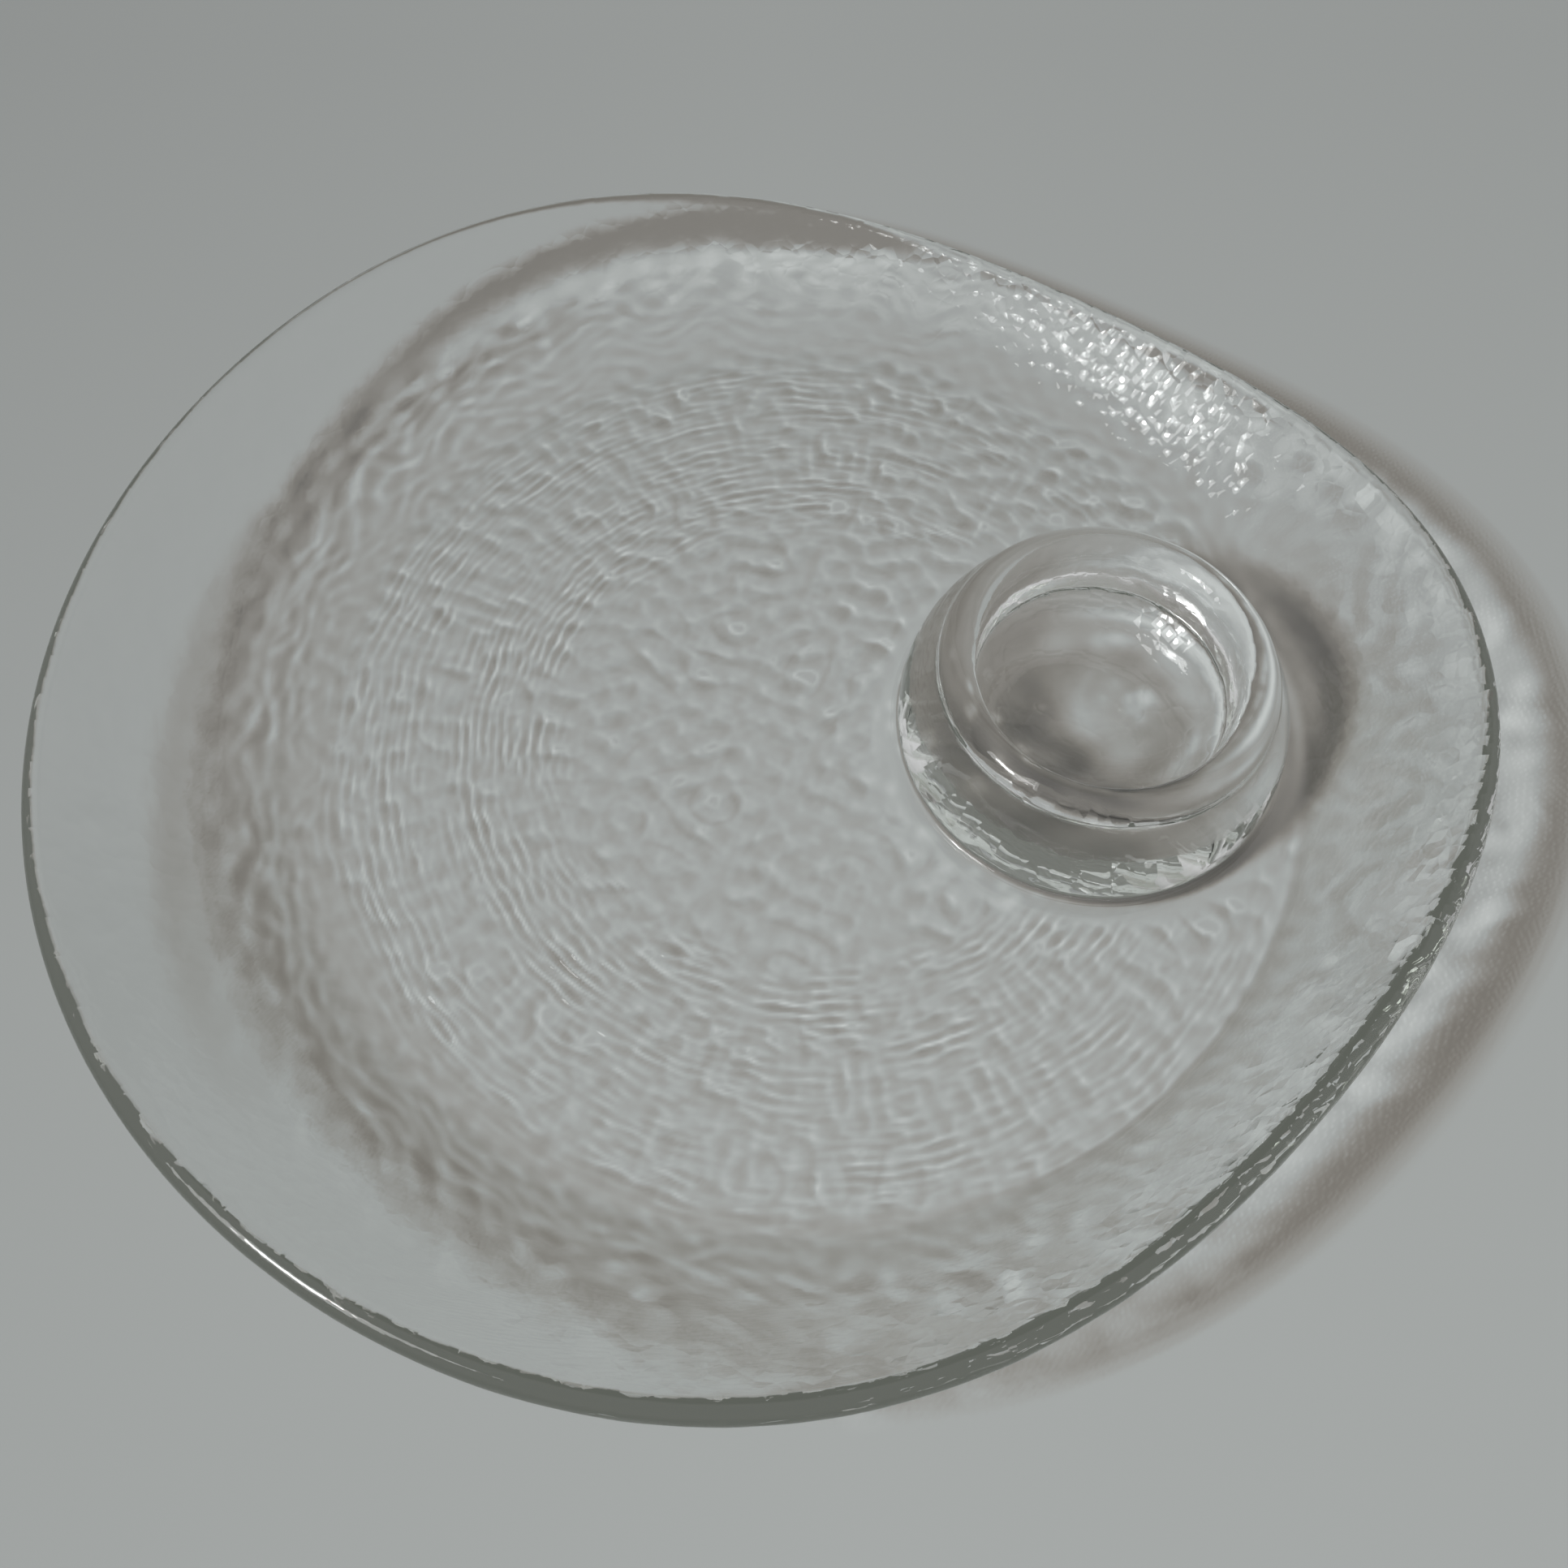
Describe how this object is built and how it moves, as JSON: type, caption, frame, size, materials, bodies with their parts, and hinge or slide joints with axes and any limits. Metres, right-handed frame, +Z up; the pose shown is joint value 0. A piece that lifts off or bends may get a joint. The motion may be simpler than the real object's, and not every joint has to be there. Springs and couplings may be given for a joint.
{
  "type": "glass serving plate with dip cup",
  "caption": "Clear glass serving plate of soft drawn-out outline, with a raised rim that dips at one side and a thick round dip cup fused to its floor.",
  "frame": {"origin": "middle of the plate's flat round underside, on the surface that it stands on", "axes": "+Z up out of the plate, +X from the middle of the floor to the dip cup's axis, +Y towards the side where the rim dips"},
  "size_m": [0.3078, 0.3083, 0.042],
  "materials": {
    "clear_glass": "clear, fire-polished above, hammered underneath, faintly grey-green at the edge"
  },
  "bodies": {
    "root": {"plate": "clear_glass", "dip_cup": "clear_glass"}
  },
  "joints": []
}
